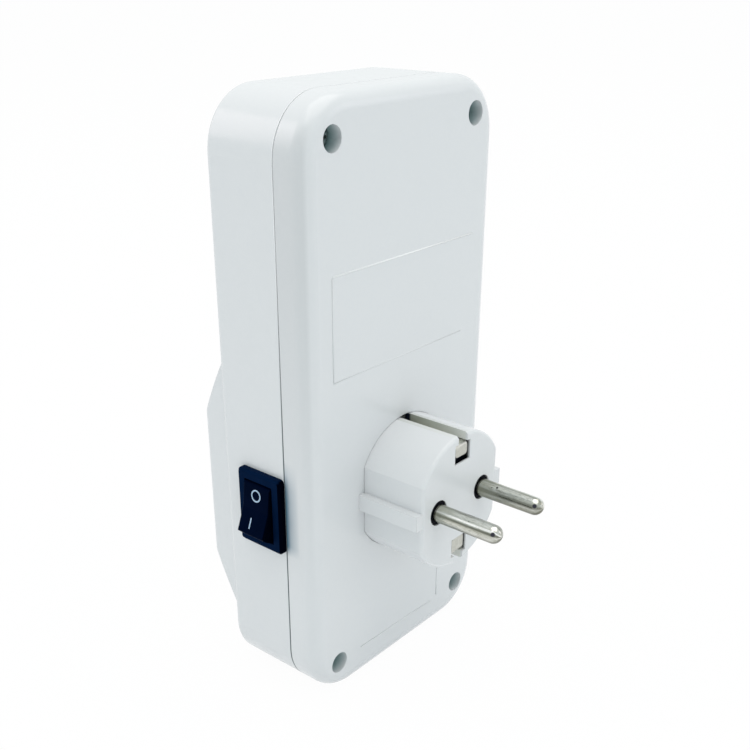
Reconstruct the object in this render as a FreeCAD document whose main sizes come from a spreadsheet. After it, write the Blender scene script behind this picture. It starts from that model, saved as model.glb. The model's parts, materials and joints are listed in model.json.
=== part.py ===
import FreeCAD, Part
import math
import os
import Sketcher

# Plug-through voltage protector: a two-part case with a grounded plug on the
# rear, a grounded socket in a round boss on the front, a rocker switch on the
# side and a relay board in the upper half.
# Millimetres. X across the case (switch side +X), Y front (-) to rear (+), Z up.
# The origin is the middle of the flat base that the case stands on.

doc = FreeCAD.newDocument("VoltageProtector")
sheet = doc.addObject("Spreadsheet::Sheet", "Sizes")
vector = FreeCAD.Vector


class Size:
    """A number together with the sheet formula that it comes from."""

    def __init__(self, number, formula):
        self.number = float(number)
        self.formula = formula

    def __add__(self, other):
        return Size(self.number + number(other), "(%s + %s)" % (self.formula, formula(other)))

    def __radd__(self, other):
        return Size(number(other) + self.number, "(%s + %s)" % (formula(other), self.formula))

    def __sub__(self, other):
        return Size(self.number - number(other), "(%s - %s)" % (self.formula, formula(other)))

    def __rsub__(self, other):
        return Size(number(other) - self.number, "(%s - %s)" % (formula(other), self.formula))

    def __mul__(self, other):
        return Size(self.number * number(other), "(%s * %s)" % (self.formula, formula(other)))

    def __rmul__(self, other):
        return self * other

    def __truediv__(self, other):
        return Size(self.number / number(other), "(%s / %s)" % (self.formula, formula(other)))

    def __neg__(self):
        return Size(-self.number, "(0 - %s)" % self.formula)


def number(value):
    return value.number if isinstance(value, Size) else float(value)


def formula(value):
    return value.formula if isinstance(value, Size) else repr(float(value))


def root(value):
    return Size(math.sqrt(number(value)), "sqrt(%s)" % formula(value))


def tangent(angle):
    return Size(math.tan(math.radians(number(angle))), "tan(%s * 1 deg)" % formula(angle))


def size(name, value):
    """Put one driving dimension in the sheet and hand it back with its formula."""
    size.row += 1
    sheet.set("A%d" % size.row, name)
    sheet.set("B%d" % size.row, str(value))
    sheet.setAlias("B%d" % size.row, name)
    sheet.recompute()
    return Size(sheet.get("B%d" % size.row), "Sizes." + name)


size.row = 0

# Case
box_width = size("box_width", 72.2)
box_height = size("box_height", 156.3)
box_depth = size("box_depth", 30.6)
cover_depth = size("cover_depth", 9.25)
corner_radius = size("corner_radius", 14.5)
wall = size("wall", 2.5)
front_rounding = size("front_rounding", 1.5)
rear_rounding = size("rear_rounding", 4.0)
seam_gap = size("seam_gap", 0.25)
lip_depth = size("lip_depth", 2.0)
lip_wall = size("lip_wall", 1.2)
lip_clearance = size("lip_clearance", 0.15)
axis_height = size("axis_height", 55.3)

# Socket boss and recess
boss_base_radius = size("boss_base_radius", 50.5)
boss_top_radius = size("boss_top_radius", 39.3)
boss_height = size("boss_height", 8.5)
boss_rounding = size("boss_rounding", 1.4)
recess_radius = size("recess_radius", 19.5)
recess_depth = size("recess_depth", 17.5)
cup_wall = size("cup_wall", 1.8)
floor_thickness = size("floor_thickness", 1.7)
guide_flat = size("guide_flat", 17.0)
guide_half_height = size("guide_half_height", 8.3)
guide_groove_half = size("guide_groove_half", 2.7)
guide_setback = size("guide_setback", 1.0)
pin_hole_radius = size("pin_hole_radius", 2.75)

# Plug boss and pins
plug_radius = size("plug_radius", 18.7)
plug_length = size("plug_length", 19.0)
plug_flat = size("plug_flat", 16.25)
plug_groove = size("plug_groove", 0.12)
plug_groove_depth = size("plug_groove_depth", 0.3)
rib_half_height = size("rib_half_height", 2.2)
plug_face_wall = size("plug_face_wall", 1.5)
plug_rounding = size("plug_rounding", 1.0)
rib_reach = size("rib_reach", 18.4)
rib_setback = size("rib_setback", 0.2)
cavity_half_width = size("cavity_half_width", 13.4)
cavity_half_height = size("cavity_half_height", 9.0)
slot_mouth_half = size("slot_mouth_half", 1.9)
slot_half = size("slot_half", 3.2)
slot_floor = size("slot_floor", 10.9)
slot_lip = size("slot_lip", 2.4)
chamber_half = size("chamber_half", 4.4)
chamber_face_wall = size("chamber_face_wall", 0.5)
pin_spacing = size("pin_spacing", 19.0)
pin_radius = size("pin_radius", 2.4)
pin_neck_radius = size("pin_neck_radius", 2.2)
pin_length = size("pin_length", 19.0)
pin_recess_radius = size("pin_recess_radius", 3.4)
pin_collar_radius = size("pin_collar_radius", 3.6)
pin_collar = size("pin_collar", 1.4)
pin_tail_radius = size("pin_tail_radius", 1.5)
pin_tail = size("pin_tail", 4.5)
carrier_thickness = size("carrier_thickness", 10.0)
carrier_clearance = size("carrier_clearance", 0.2)
carrier_collar_drop = size("carrier_collar_drop", 0.3)
strip_width = size("strip_width", 5.0)
strip_thickness = size("strip_thickness", 0.6)
strip_clearance = size("strip_clearance", 0.2)
strip_front_gap = size("strip_front_gap", 0.4)
strip_rear_gap = size("strip_rear_gap", 1.5)
strip_hook_top = size("strip_hook_top", 3.6)
strip_hook_bottom = size("strip_hook_bottom", 5.0)
strip_corner = size("strip_corner", 0.9)
strip_bend = size("strip_bend", 0.8)

# Case screws and their posts
screw_inset = size("screw_inset", 9.35)
counterbore_radius = size("counterbore_radius", 3.0)
sleeve_wall = size("sleeve_wall", 1.5)
screw_ledge = size("screw_ledge", 4.3)
screw_hole_radius = size("screw_hole_radius", 1.7)
post_radius = size("post_radius", 3.6)
screw_radius = size("screw_radius", 1.45)
screw_length = size("screw_length", 12.0)
screw_head_radius = size("screw_head_radius", 2.7)
screw_head_height = size("screw_head_height", 2.0)
thread_clearance = size("thread_clearance", 0.05)
cross_half = size("cross_half", 0.35)
cross_share = size("cross_share", 0.56)
cross_sink = size("cross_sink", 0.55)

# Rocker switch
switch_drop = size("switch_drop", 0.2)
flange_width = size("flange_width", 14.9)
flange_length = size("flange_length", 21.0)
flange_thickness = size("flange_thickness", 2.0)
flange_corner = size("flange_corner", 1.2)
flange_bevel = size("flange_bevel", 0.6)
switch_body_width = size("switch_body_width", 12.8)
switch_body_length = size("switch_body_length", 19.0)
switch_body_depth = size("switch_body_depth", 11.5)
switch_floor = size("switch_floor", 1.2)
panel_clearance = size("panel_clearance", 0.1)
barb_height = size("barb_height", 0.7)
barb_length = size("barb_length", 4.3)
barb_width = size("barb_width", 6.0)
rocker_width = size("rocker_width", 9.2)
rocker_radius = size("rocker_radius", 7.8)
rocker_rise = size("rocker_rise", 3.4)
rocker_skirt = size("rocker_skirt", 1.5)
rocker_rounding = size("rocker_rounding", 0.4)
facet_angle = size("facet_angle", 7.0)
rocker_half_swing = size("rocker_half_swing", 14.0)
rocker_gap = size("rocker_gap", 0.3)
rocker_side_gap = size("rocker_side_gap", 0.2)
pivot_radius = size("pivot_radius", 1.2)
pivot_clearance = size("pivot_clearance", 0.06)
pivot_reach = size("pivot_reach", 0.8)
pivot_end_gap = size("pivot_end_gap", 0.2)
plunger_radius = size("plunger_radius", 1.5)
plunger_clearance = size("plunger_clearance", 0.1)
plunger_length = size("plunger_length", 4.7)
plunger_reach = size("plunger_reach", 5.6)
stem_half = size("stem_half", 2.6)
stem_reach = size("stem_reach", 3.2)
spring_wire = size("spring_wire", 0.2)
spring_radius = size("spring_radius", 1.15)
spring_height = size("spring_height", 2.4)
spring_turns = size("spring_turns", 3)
contact_gap = size("contact_gap", 0.3)
contact_half_swing = size("contact_half_swing", 8.0)
contact_half_length = size("contact_half_length", 5.6)
contact_width = size("contact_width", 3.6)
contact_thickness = size("contact_thickness", 0.7)
rivet_radius = size("rivet_radius", 1.1)
rivet_height = size("rivet_height", 0.6)
rivet_place = size("rivet_place", 4.4)
blade_width = size("blade_width", 4.8)
blade_thickness = size("blade_thickness", 0.8)
blade_reach = size("blade_reach", 19.0)
blade_clearance = size("blade_clearance", 0.1)
fulcrum_gap = size("fulcrum_gap", 0.15)
fixed_contact_drop = size("fixed_contact_drop", 1.55)
end_blade_place = size("end_blade_place", 6.4)
fixed_contact_reach = size("fixed_contact_reach", 3.8)

# Socket contacts
contact_bore_radius = size("contact_bore_radius", 2.5)
sleeve_radius = size("sleeve_radius", 3.6)
sleeve_length = size("sleeve_length", 14.0)
sleeve_slit = size("sleeve_slit", 1.0)
sleeve_tab_length = size("sleeve_tab_length", 3.5)
sleeve_tab_half = size("sleeve_tab_half", 1.6)
tab_thickness = size("tab_thickness", 0.7)
tab_inset = size("tab_inset", 0.2)
holder_half_width = size("holder_half_width", 16.0)
holder_half_height = size("holder_half_height", 7.0)
holder_depth = size("holder_depth", 8.0)
holder_clearance = size("holder_clearance", 0.05)
clip_half_width = size("clip_half_width", 2.5)
clip_thickness = size("clip_thickness", 0.8)
clip_radius = size("clip_radius", 17.8)
clip_bulge = size("clip_bulge", 1.4)
clip_bulge_half = size("clip_bulge_half", 3.5)
clip_setback = size("clip_setback", 4.2)
clip_window_gap = size("clip_window_gap", 0.5)

# Board and its parts
board_side_gap = size("board_side_gap", 5.6)
board_top_gap = size("board_top_gap", 17.4)
board_rise = size("board_rise", 27.4)
board_thickness = size("board_thickness", 1.6)
board_recess = size("board_recess", 0.1)
board_hole_inset = size("board_hole_inset", 4.5)
board_post_radius = size("board_post_radius", 3.0)
board_screw_radius = size("board_screw_radius", 1.1)
board_head_radius = size("board_head_radius", 2.2)
board_head_height = size("board_head_height", 1.5)
board_screw_length = size("board_screw_length", 7.0)
board_hole_radius = size("board_hole_radius", 1.4)
led_drop = size("led_drop", 12.0)
led_pitch = size("led_pitch", 10.0)
led_radius = size("led_radius", 2.5)
led_rim = size("led_rim", 0.5)
led_rim_height = size("led_rim_height", 1.0)
led_proud = size("led_proud", 1.0)
led_clearance = size("led_clearance", 0.1)
led_lead_half = size("led_lead_half", 0.25)
led_lead_place = size("led_lead_place", 1.27)
relay_width = size("relay_width", 12.8)
relay_length = size("relay_length", 29.0)
relay_height = size("relay_height", 15.7)
film_width = size("film_width", 8.5)
film_length = size("film_length", 18.0)
film_height = size("film_height", 14.5)
can_radius = size("can_radius", 5.0)
can_height = size("can_height", 16.0)
can_groove = size("can_groove", 0.5)
varistor_radius = size("varistor_radius", 7.0)
varistor_thickness = size("varistor_thickness", 4.5)
varistor_lift = size("varistor_lift", 1.2)
varistor_leg = size("varistor_leg", 0.4)
chip_width = size("chip_width", 6.4)
chip_length = size("chip_length", 9.6)
chip_height = size("chip_height", 3.4)
chip_leg_pitch = size("chip_leg_pitch", 2.54)
chip_leg_width = size("chip_leg_width", 0.5)
chip_leg_reach = size("chip_leg_reach", 0.8)
part_rounding = size("part_rounding", 0.6)
wire_radius = size("wire_radius", 0.9)
wire_bend = size("wire_bend", 1.2)
wire_height = size("wire_height", 16.0)
wire_lane_gap = size("wire_lane_gap", 1.0)
relay_x = size("relay_x", 14.0)
relay_rise = size("relay_rise", 20.0)
film_x = size("film_x", -18.0)
film_rise = size("film_rise", 22.0)
can_x = size("can_x", -4.0)
can_rise = size("can_rise", 12.0)
varistor_x = size("varistor_x", -4.0)
varistor_rise = size("varistor_rise", 28.0)
chip_x = size("chip_x", 2.0)
chip_rise = size("chip_rise", 22.0)

# Planes and places worked out from the sizes
half_width = box_width / 2
front = -box_depth / 2
rear = box_depth / 2
seam = rear - cover_depth
inner_front = front + wall
cover_rim = seam + seam_gap
cover_wall = wall + lip_clearance + lip_wall
boss_face = front - boss_height
boss_side = half_width - front_rounding
recess_floor = boss_face + recess_depth
floor_back = recess_floor + floor_thickness
cup_radius = recess_radius + cup_wall
plug_face = rear + plug_length
pin_half = pin_spacing / 2
screw_x = half_width - screw_inset
screw_places = [
    (screw_x, screw_inset),
    (-screw_x, screw_inset),
    (screw_x, box_height - screw_inset),
    (-screw_x, box_height - screw_inset),
]
ledge = seam + screw_ledge
switch_y = seam - flange_width / 2
switch_height = axis_height - switch_drop
contact_depth = plunger_reach + contact_gap + contact_thickness
board_front = seam - board_recess
board_back = board_front + board_thickness
board_top = box_height - board_top_gap
board_bottom = axis_height + board_rise
board_width = box_width - board_side_gap * 2
board_hole_x = board_width / 2 - board_hole_inset
board_holes = [
    (board_hole_x, board_bottom + board_hole_inset),
    (-board_hole_x, board_bottom + board_hole_inset),
    (board_hole_x, board_top - board_hole_inset),
    (-board_hole_x, board_top - board_hole_inset),
]
led_height = board_top - led_drop
relay_z = board_bottom + relay_rise
film_z = board_bottom + film_rise
can_z = board_bottom + can_rise
varistor_z = board_bottom + varistor_rise
chip_z = board_bottom + chip_rise
led_places = {"green": -led_pitch, "yellow": 0, "red": led_pitch}


def bind(thing, path, value):
    """Set one property and tie it to its sheet formula."""
    thing.setExpression(path, formula(value))


def new_body(name):
    body = doc.addObject("PartDesign::Body", name)
    body.Label = name
    return body


# The world axis that each origin plane's sketch normal follows
NORMALS = {"XY_Plane": 1, "XZ_Plane": -1, "YZ_Plane": 1}


def new_sketch(body, plane, at):
    """A sketch parallel to one of the body's origin planes, at a place along its world axis."""
    sketch = body.newObject("Sketcher::SketchObject", "Sketch")
    origin = [item for item in body.Origin.OriginFeatures if item.Role == plane][0]
    sketch.AttachmentSupport = [(origin, "")]
    sketch.MapMode = "FlatFace"
    bind(sketch, "AttachmentOffset.Base.z", at * NORMALS[plane])
    return sketch


def direction(sketch):
    return NORMALS[sketch.AttachmentSupport[0][0].Role]


def fix(sketch, kind, item, end, value):
    """Hold one coordinate of a sketch point at a size."""
    if not isinstance(value, Size) and value == 0:
        axis = -2 if kind == "DistanceX" else -1
        sketch.addConstraint(Sketcher.Constraint("PointOnObject", item, end, axis))
        return
    place = sketch.addConstraint(Sketcher.Constraint(kind, -1, 1, item, end, number(value)))
    bind(sketch, "Constraints[%d]" % place, value)


def measure(sketch, kind, item, value):
    """Hold a radius at a size."""
    place = sketch.addConstraint(Sketcher.Constraint(kind, item, number(value)))
    bind(sketch, "Constraints[%d]" % place, value)


def arc_between(begin, end, radius, side):
    """A circular arc from begin to end, and which of its ends is the arc's own start."""
    chord = end - begin
    reach = math.sqrt(max(radius ** 2 - chord.Length ** 2 / 4, 0))
    across = vector(-chord.y, chord.x, 0) / chord.Length
    centre = (begin + end) / 2 + across * reach * side
    first = math.atan2(begin.y - centre.y, begin.x - centre.x)
    last = math.atan2(end.y - centre.y, end.x - centre.x)
    circle = Part.Circle(centre, vector(0, 0, 1), radius)
    if side > 0:
        return Part.ArcOfCircle(circle, first, last), 1
    return Part.ArcOfCircle(circle, last, first), 2


def outline(sketch, corners, arcs=None):
    """A closed outline through corners. arcs maps an edge to its radius and its centre's side."""
    arcs = arcs or {}
    first = sketch.GeometryCount
    points = [vector(number(x), number(y), 0) for x, y in corners]
    starts = []
    for index, begin in enumerate(points):
        end = points[(index + 1) % len(points)]
        start = 1
        item = Part.LineSegment(begin, end)
        if index in arcs:
            radius, side = arcs[index]
            item, start = arc_between(begin, end, number(radius), side)
        sketch.addGeometry(item, False)
        starts.append(start)
    for index, (x, y) in enumerate(corners):
        before = (index - 1) % len(corners)
        joint = (first + before, 3 - starts[before], first + index, starts[index])
        sketch.addConstraint(Sketcher.Constraint("Coincident", *joint))
        fix(sketch, "DistanceX", first + index, starts[index], x)
        fix(sketch, "DistanceY", first + index, starts[index], y)
    for index, (radius, side) in arcs.items():
        measure(sketch, "Radius", first + index, radius)


def rectangle(sketch, left, right, bottom, top):
    outline(sketch, [(left, bottom), (right, bottom), (right, top), (left, top)])


def rounded_rectangle(sketch, left, right, bottom, top, radius):
    """A rectangle with round corners, held by its four sides and one radius."""
    first = sketch.GeometryCount
    x0, x1 = number(left), number(right)
    y0, y1 = number(bottom), number(top)
    r = number(radius)
    sides = [
        (vector(x0 + r, y0, 0), vector(x1 - r, y0, 0)),
        (vector(x1, y0 + r, 0), vector(x1, y1 - r, 0)),
        (vector(x1 - r, y1, 0), vector(x0 + r, y1, 0)),
        (vector(x0, y1 - r, 0), vector(x0, y0 + r, 0)),
    ]
    centres = [(x1 - r, y0 + r), (x1 - r, y1 - r), (x0 + r, y1 - r), (x0 + r, y0 + r)]
    for begin, end in sides:
        sketch.addGeometry(Part.LineSegment(begin, end), False)
    for turn, (x, y) in enumerate(centres):
        circle = Part.Circle(vector(x, y, 0), vector(0, 0, 1), r)
        start = math.radians(90 * turn - 90)
        sketch.addGeometry(Part.ArcOfCircle(circle, start, start + math.pi / 2), False)
    for side in range(4):
        line, arc, following = first + side, first + 4 + side, first + (side + 1) % 4
        sketch.addConstraint(Sketcher.Constraint("Tangent", line, 2, arc, 1))
        sketch.addConstraint(Sketcher.Constraint("Tangent", arc, 2, following, 1))
        sketch.addConstraint(Sketcher.Constraint("Horizontal" if side % 2 == 0 else "Vertical", line))
        if side:
            sketch.addConstraint(Sketcher.Constraint("Equal", first + 4, arc))
    measure(sketch, "Radius", first + 4, radius)
    fix(sketch, "DistanceY", first, 1, bottom)
    fix(sketch, "DistanceX", first + 1, 1, right)
    fix(sketch, "DistanceY", first + 2, 1, top)
    fix(sketch, "DistanceX", first + 3, 1, left)


def circle(sketch, x, y, radius):
    item = sketch.addGeometry(Part.Circle(vector(number(x), number(y), 0), vector(0, 0, 1), number(radius)))
    fix(sketch, "DistanceX", item, 3, x)
    fix(sketch, "DistanceY", item, 3, y)
    measure(sketch, "Radius", item, radius)


def volume(body):
    doc.recompute()
    return body.Tip.Shape.Volume if body.Tip else 0.0


def pad(body, sketch, length, toward):
    """Add material from the sketch towards + or - along its world axis, or both ways for 0."""
    before = volume(body)
    feature = body.newObject("PartDesign::Pad", "Pad")
    feature.Profile = sketch
    feature.SideType = "One side" if toward else "Symmetric"
    feature.Reversed = toward * direction(sketch) < 0
    bind(feature, "Length", length)
    if volume(body) <= before:
        raise RuntimeError("a pad adds nothing to " + body.Label)
    return feature


def cut(body, sketch, length, toward):
    """Take material away from the sketch towards + or - along its world axis, or both ways for 0."""
    before = volume(body)
    feature = body.newObject("PartDesign::Pocket", "Pocket")
    feature.Profile = sketch
    feature.SideType = "One side" if toward else "Symmetric"
    feature.Reversed = toward * direction(sketch) > 0
    bind(feature, "Length", length)
    if volume(body) >= before:
        raise RuntimeError("a cut takes nothing from " + body.Label)
    return feature


def revolve(body, sketch, axis):
    """Turn the sketch all the way round one of its axes."""
    feature = body.newObject("PartDesign::Revolution", "Revolution")
    feature.Profile = sketch
    feature.ReferenceAxis = (sketch, [axis])
    feature.Angle = 360
    doc.recompute()
    return feature


def level(edge, axis, value):
    """Whether an edge lies in one plane across X, Y or Z."""
    box = edge.BoundBox
    low, high = {"x": (box.XMin, box.XMax), "y": (box.YMin, box.YMax), "z": (box.ZMin, box.ZMax)}[axis]
    return abs(low - number(value)) < 0.01 and abs(high - number(value)) < 0.01


def soften(body, radius, wanted, kind="Fillet"):
    """Round or bevel every edge that the test names."""
    doc.recompute()
    base = body.Tip
    names = ["Edge%d" % (index + 1) for index, edge in enumerate(base.Shape.Edges) if wanted(edge)]
    if not names:
        raise RuntimeError("no edge to soften on " + body.Label)
    feature = body.newObject("PartDesign::" + kind, kind)
    feature.Base = (base, names)
    bind(feature, "Size" if kind == "Chamfer" else "Radius", radius)
    doc.recompute()
    return feature


def place(body, x, y, z):
    """Put a body that is drawn about its own origin at its place in the case."""
    bind(body, "Placement.Base.x", x)
    bind(body, "Placement.Base.y", y)
    bind(body, "Placement.Base.z", z)


def tilt(body, angle):
    """Turn a placed body about the Y axis."""
    body.Placement.Rotation = FreeCAD.Rotation(vector(0, 1, 0), number(angle))
    body.setExpression("Placement.Rotation.Angle", formula(angle) + " * 1 deg")


def case_outline(sketch, inset):
    """The case's outline, moved in from its sides."""
    rounded_rectangle(sketch, inset - half_width, half_width - inset, inset, box_height - inset,
                      corner_radius - inset)


def front_housing():
    body = new_body("front_housing")
    sketch = new_sketch(body, "XZ_Plane", seam)
    rounded_rectangle(sketch, -half_width, half_width, 0, box_height, corner_radius)
    pad(body, sketch, box_depth - cover_depth, -1)
    soften(body, front_rounding, lambda edge: level(edge, "y", front))

    # The socket boss is a shallow cone, cut flat where it would pass the case's outline
    neck = boss_side - wall
    sketch = new_sketch(body, "YZ_Plane", 0)
    outline(sketch, [
        (boss_face, axis_height),
        (boss_face, axis_height + boss_top_radius),
        (front, axis_height + boss_base_radius),
        (front, axis_height + neck),
        (front + wall / 2, axis_height + neck),
        (front + wall / 2, axis_height),
    ])
    middle = sketch.addGeometry(Part.LineSegment(
        vector(number(boss_face), number(axis_height), 0),
        vector(number(front), number(axis_height), 0)), True)
    fix(sketch, "DistanceX", middle, 1, boss_face)
    fix(sketch, "DistanceX", middle, 2, front)
    fix(sketch, "DistanceY", middle, 1, axis_height)
    fix(sketch, "DistanceY", middle, 2, axis_height)
    revolve(body, sketch, "Axis0")
    sketch = new_sketch(body, "XZ_Plane", boss_face)
    beyond = boss_base_radius + box_width
    rectangle(sketch, -beyond, beyond, -beyond, box_height + beyond)
    case_outline(sketch, front_rounding)
    cut(body, sketch, boss_height, 1)
    soften(body, boss_rounding, lambda edge: level(edge, "y", boss_face))

    # The hollow of the case, and the ring left hollow inside the boss round the socket cup
    sketch = new_sketch(body, "XZ_Plane", seam)
    case_outline(sketch, wall)
    cut(body, sketch, seam - inner_front, -1)
    sketch = new_sketch(body, "XZ_Plane", inner_front)
    circle(sketch, 0, axis_height, neck)
    circle(sketch, 0, axis_height, cup_radius)
    cut(body, sketch, boss_height, -1)

    # The socket cup with its side guides, pin holes and earth windows
    sketch = new_sketch(body, "XZ_Plane", floor_back)
    circle(sketch, 0, axis_height, cup_radius)
    pad(body, sketch, floor_back - boss_face - wall, -1)
    sketch = new_sketch(body, "XZ_Plane", boss_face)
    circle(sketch, 0, axis_height, recess_radius)
    cut(body, sketch, recess_depth, 1)
    sketch = new_sketch(body, "XZ_Plane", recess_floor)
    for low, high in ((guide_groove_half, guide_half_height), (-guide_half_height, -guide_groove_half)):
        rectangle(sketch, guide_flat, recess_radius, axis_height + low, axis_height + high)
        rectangle(sketch, -recess_radius, -guide_flat, axis_height + low, axis_height + high)
    pad(body, sketch, recess_depth - guide_setback, -1)
    sketch = new_sketch(body, "XZ_Plane", recess_floor)
    for side in (-1, 1):
        circle(sketch, pin_half * side, axis_height, pin_hole_radius)
    window = (clip_radius - clip_thickness - clip_bulge - clip_window_gap, clip_radius + clip_window_gap)
    window_half = clip_half_width + clip_window_gap
    rectangle(sketch, -window_half, window_half, axis_height + window[0], axis_height + window[1])
    rectangle(sketch, -window_half, window_half, axis_height - window[1], axis_height - window[0])
    cut(body, sketch, floor_thickness, 1)

    # The posts for the case screws and for the board, with their screw holes
    sketch = new_sketch(body, "XZ_Plane", seam)
    for x, z in screw_places:
        circle(sketch, x, z, post_radius)
    pad(body, sketch, seam - inner_front + wall / 2, -1)
    sketch = new_sketch(body, "XZ_Plane", board_front)
    for x, z in board_holes:
        circle(sketch, x, z, board_post_radius)
    pad(body, sketch, board_front - inner_front + wall / 2, -1)
    sketch = new_sketch(body, "XZ_Plane", seam)
    for x, z in screw_places:
        circle(sketch, x, z, screw_radius + thread_clearance)
    cut(body, sketch, screw_length, -1)
    sketch = new_sketch(body, "XZ_Plane", board_front)
    for x, z in board_holes:
        circle(sketch, x, z, board_screw_radius + thread_clearance)
    cut(body, sketch, board_screw_length, -1)

    # The switch cut-out in the side and the three indicator holes in the front
    sketch = new_sketch(body, "YZ_Plane", half_width)
    reach = switch_body_width / 2 + panel_clearance
    rise = switch_body_length / 2 + panel_clearance
    rectangle(sketch, switch_y - reach, switch_y + reach, switch_height - rise, switch_height + rise)
    cut(body, sketch, wall, -1)
    sketch = new_sketch(body, "XZ_Plane", front)
    for x in led_places.values():
        circle(sketch, x, led_height, led_radius + led_clearance)
    cut(body, sketch, wall, 1)


def plug_outline(sketch, gap):
    """The plug boss's outline, a circle with two flats, widened by a gap."""
    reach = plug_flat + gap
    radius = plug_radius + gap
    rise = root(radius * radius - reach * reach)
    corners = [(-reach, -rise), (reach, -rise), (reach, rise), (-reach, rise)]
    outline(sketch, [(x, axis_height + z) for x, z in corners], {0: (radius, 1), 2: (radius, 1)})


def rear_cover():
    body = new_body("rear_cover")
    sketch = new_sketch(body, "XZ_Plane", cover_rim)
    rounded_rectangle(sketch, -half_width, half_width, 0, box_height, corner_radius)
    pad(body, sketch, rear - cover_rim, 1)
    soften(body, rear_rounding, lambda edge: level(edge, "y", rear))
    sketch = new_sketch(body, "XZ_Plane", cover_rim)
    case_outline(sketch, cover_wall)
    cut(body, sketch, rear - wall - cover_rim, 1)

    # The lip that locates the cover in the housing, cleared round the screw posts and the switch
    sketch = new_sketch(body, "XZ_Plane", cover_rim)
    case_outline(sketch, wall + lip_clearance)
    case_outline(sketch, cover_wall)
    pad(body, sketch, lip_depth, -1)
    sketch = new_sketch(body, "XZ_Plane", cover_rim)
    for x, z in screw_places:
        circle(sketch, x, z, post_radius + lip_wall)
    rise = switch_body_length / 2 + lip_wall
    rectangle(sketch, half_width - cover_wall - lip_wall, half_width, switch_height - rise,
              switch_height + rise)
    cut(body, sketch, lip_depth, -1)

    # The sleeves that sink the case screws deep below the rear face
    sketch = new_sketch(body, "XZ_Plane", seam)
    for x, z in screw_places:
        circle(sketch, x, z, counterbore_radius + sleeve_wall)
    pad(body, sketch, rear - wall / 2 - seam, 1)
    sketch = new_sketch(body, "XZ_Plane", rear)
    for x, z in screw_places:
        circle(sketch, x, z, counterbore_radius)
    cut(body, sketch, rear - ledge, -1)
    sketch = new_sketch(body, "XZ_Plane", ledge)
    for x, z in screw_places:
        circle(sketch, x, z, screw_hole_radius)
    cut(body, sketch, screw_ledge, -1)

    # The plug boss: round, with a flat and a guide rib on each side
    sketch = new_sketch(body, "XZ_Plane", rear)
    circle(sketch, 0, axis_height, plug_radius)
    pad(body, sketch, plug_length, 1)
    sketch = new_sketch(body, "XZ_Plane", plug_face)
    for left, right in ((plug_flat, plug_radius + wall), (-plug_radius - wall, -plug_flat)):
        rectangle(sketch, left, right, axis_height - plug_radius, axis_height + plug_radius)
    cut(body, sketch, plug_length, -1)
    soften(body, plug_rounding, lambda edge: level(edge, "y", plug_face))
    sketch = new_sketch(body, "XZ_Plane", rear)
    for left, right in ((cavity_half_width, rib_reach), (-rib_reach, -cavity_half_width)):
        rectangle(sketch, left, right, axis_height - rib_half_height, axis_height + rib_half_height)
    pad(body, sketch, plug_length - rib_setback, 1)

    # The boss is hollow: a wide cavity for the pins, and a tall chamber behind the earth slots
    lip = plug_radius - slot_lip
    for half, rise, skin in ((cavity_half_width, cavity_half_height, plug_face_wall),
                             (chamber_half, lip, chamber_face_wall)):
        sketch = new_sketch(body, "XZ_Plane", rear - wall)
        rectangle(sketch, -half, half, axis_height - rise, axis_height + rise)
        cut(body, sketch, wall + plug_length - skin, 1)
    sketch = new_sketch(body, "XZ_Plane", plug_face)
    for side in (-1, 1):
        circle(sketch, pin_half * side, axis_height, pin_recess_radius)
    cut(body, sketch, plug_face_wall, -1)

    # The two earth slots: a window in the boss's face, and a narrow mouth along its length that
    # opens through the rear wall at its foot
    for side in (-1, 1):
        low, high = sorted((slot_floor * side, lip * side), key=number)
        sketch = new_sketch(body, "XZ_Plane", plug_face)
        rectangle(sketch, -slot_half, slot_half, axis_height + low, axis_height + high)
        cut(body, sketch, plug_face_wall, -1)
        low, high = sorted(((lip - slot_lip / 2) * side, (plug_radius + wall) * side), key=number)
        sketch = new_sketch(body, "XZ_Plane", plug_face)
        rectangle(sketch, -slot_mouth_half, slot_mouth_half, axis_height + low, axis_height + high)
        cut(body, sketch, plug_length, -1)
        low, high = sorted(((lip - slot_lip / 2) * side, plug_radius * side), key=number)
        sketch = new_sketch(body, "XZ_Plane", rear)
        rectangle(sketch, -slot_mouth_half, slot_mouth_half, axis_height + low, axis_height + high)
        cut(body, sketch, wall, -1)

    # A fine groove in the rear face sets the boss off
    sketch = new_sketch(body, "XZ_Plane", rear)
    plug_outline(sketch, plug_groove)
    plug_outline(sketch, 0)
    cut(body, sketch, plug_groove_depth, -1)


def screw(name, x, y, z, radius, length, head_radius, head_height):
    """A cross-recess screw that points to the front, with its head's underside at a place."""
    body = new_body(name)
    sketch = new_sketch(body, "YZ_Plane", 0)
    outline(sketch, [
        (-length, 0),
        (radius - length, radius),
        (0, radius),
        (0, head_radius),
        (head_height / 2, head_radius),
        (head_height, head_radius / 2),
        (head_height, 0),
    ], {4: (head_radius * 1.3, -1)})
    revolve(body, sketch, "H_Axis")
    sketch = new_sketch(body, "XZ_Plane", head_height)
    reach = head_radius * cross_share
    outline(sketch, [
        (-reach, -cross_half), (-cross_half, -cross_half), (-cross_half, -reach),
        (cross_half, -reach), (cross_half, -cross_half), (reach, -cross_half),
        (reach, cross_half), (cross_half, cross_half), (cross_half, reach),
        (-cross_half, reach), (-cross_half, cross_half), (-reach, cross_half),
    ])
    cut(body, sketch, head_height * cross_sink, -1)
    place(body, x, y, z)


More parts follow.
